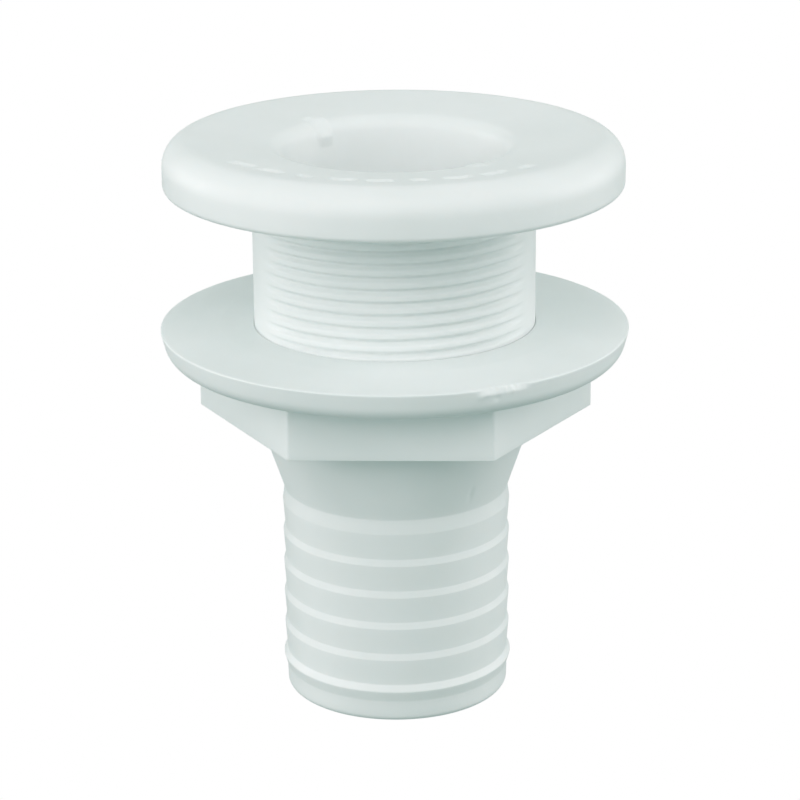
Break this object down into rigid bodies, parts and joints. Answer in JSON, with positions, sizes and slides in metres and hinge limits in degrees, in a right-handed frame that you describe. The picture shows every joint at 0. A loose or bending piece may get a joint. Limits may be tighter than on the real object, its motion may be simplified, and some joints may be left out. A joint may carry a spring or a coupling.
{
  "type": "thru hull fitting",
  "caption": "Plastic thru-hull fitting: mushroom head, threaded barrel and barbed hose tail in one moulding, with a flanged hex nut that clamps the hull.",
  "frame": {"origin": "centre of the hose tail's end face", "axes": "+Z along the fitting's axis, from the hose tail up to the mushroom head; the nut's hex has corners near +X and -X, and -Y is the front"},
  "size_m": [0.0794, 0.0794, 0.0979],
  "materials": {
    "body_plastic": "satin",
    "nut_plastic": "satin"
  },
  "bodies": {
    "fitting": {"hull_fitting_body": "body_plastic"},
    "nut": {"flange_nut": "nut_plastic"}
  },
  "joints": [
    {"name": "nut_travel", "type": "slide", "parent": "fitting", "child": "nut", "axis": [0, 0, 1], "range_m": [-0.07, 0.0236]}
  ]
}
